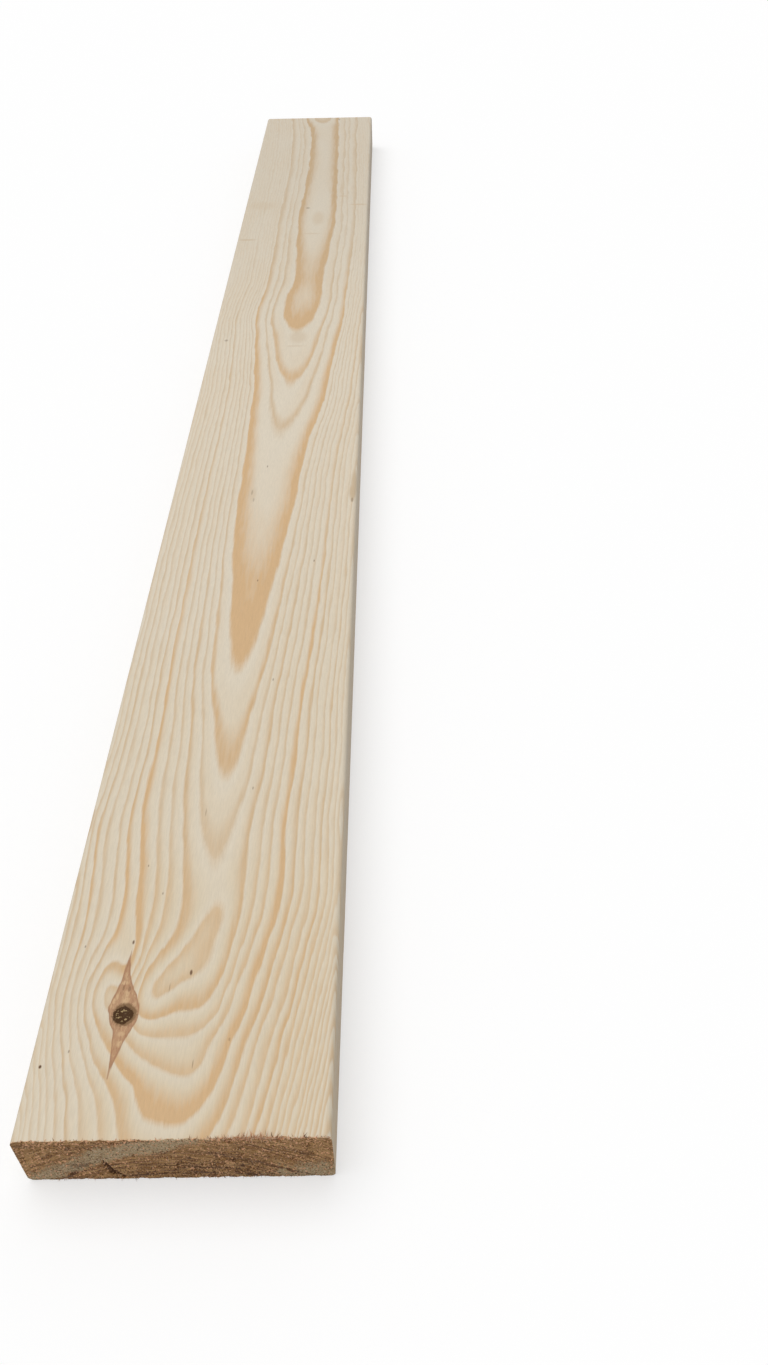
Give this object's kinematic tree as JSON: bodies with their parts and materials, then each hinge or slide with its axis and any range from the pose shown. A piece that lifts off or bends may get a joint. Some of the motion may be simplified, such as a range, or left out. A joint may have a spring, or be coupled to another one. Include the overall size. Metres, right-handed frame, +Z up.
{
  "type": "timber lumber plank",
  "caption": "Straight planed softwood plank with rounded long edges and saw-cut ends, for framing, shelving and general carpentry.",
  "frame": {"origin": "under the middle of the plank, on the wide face that it lies on", "axes": "+Z up out of the upper wide face, +Y along the grain from the near end to the far end, +X across the width"},
  "size_m": [0.14, 1.4007, 0.038],
  "materials": {
    "softwood": "planed, unsealed"
  },
  "bodies": {
    "root": {"plank": "softwood"}
  },
  "joints": []
}
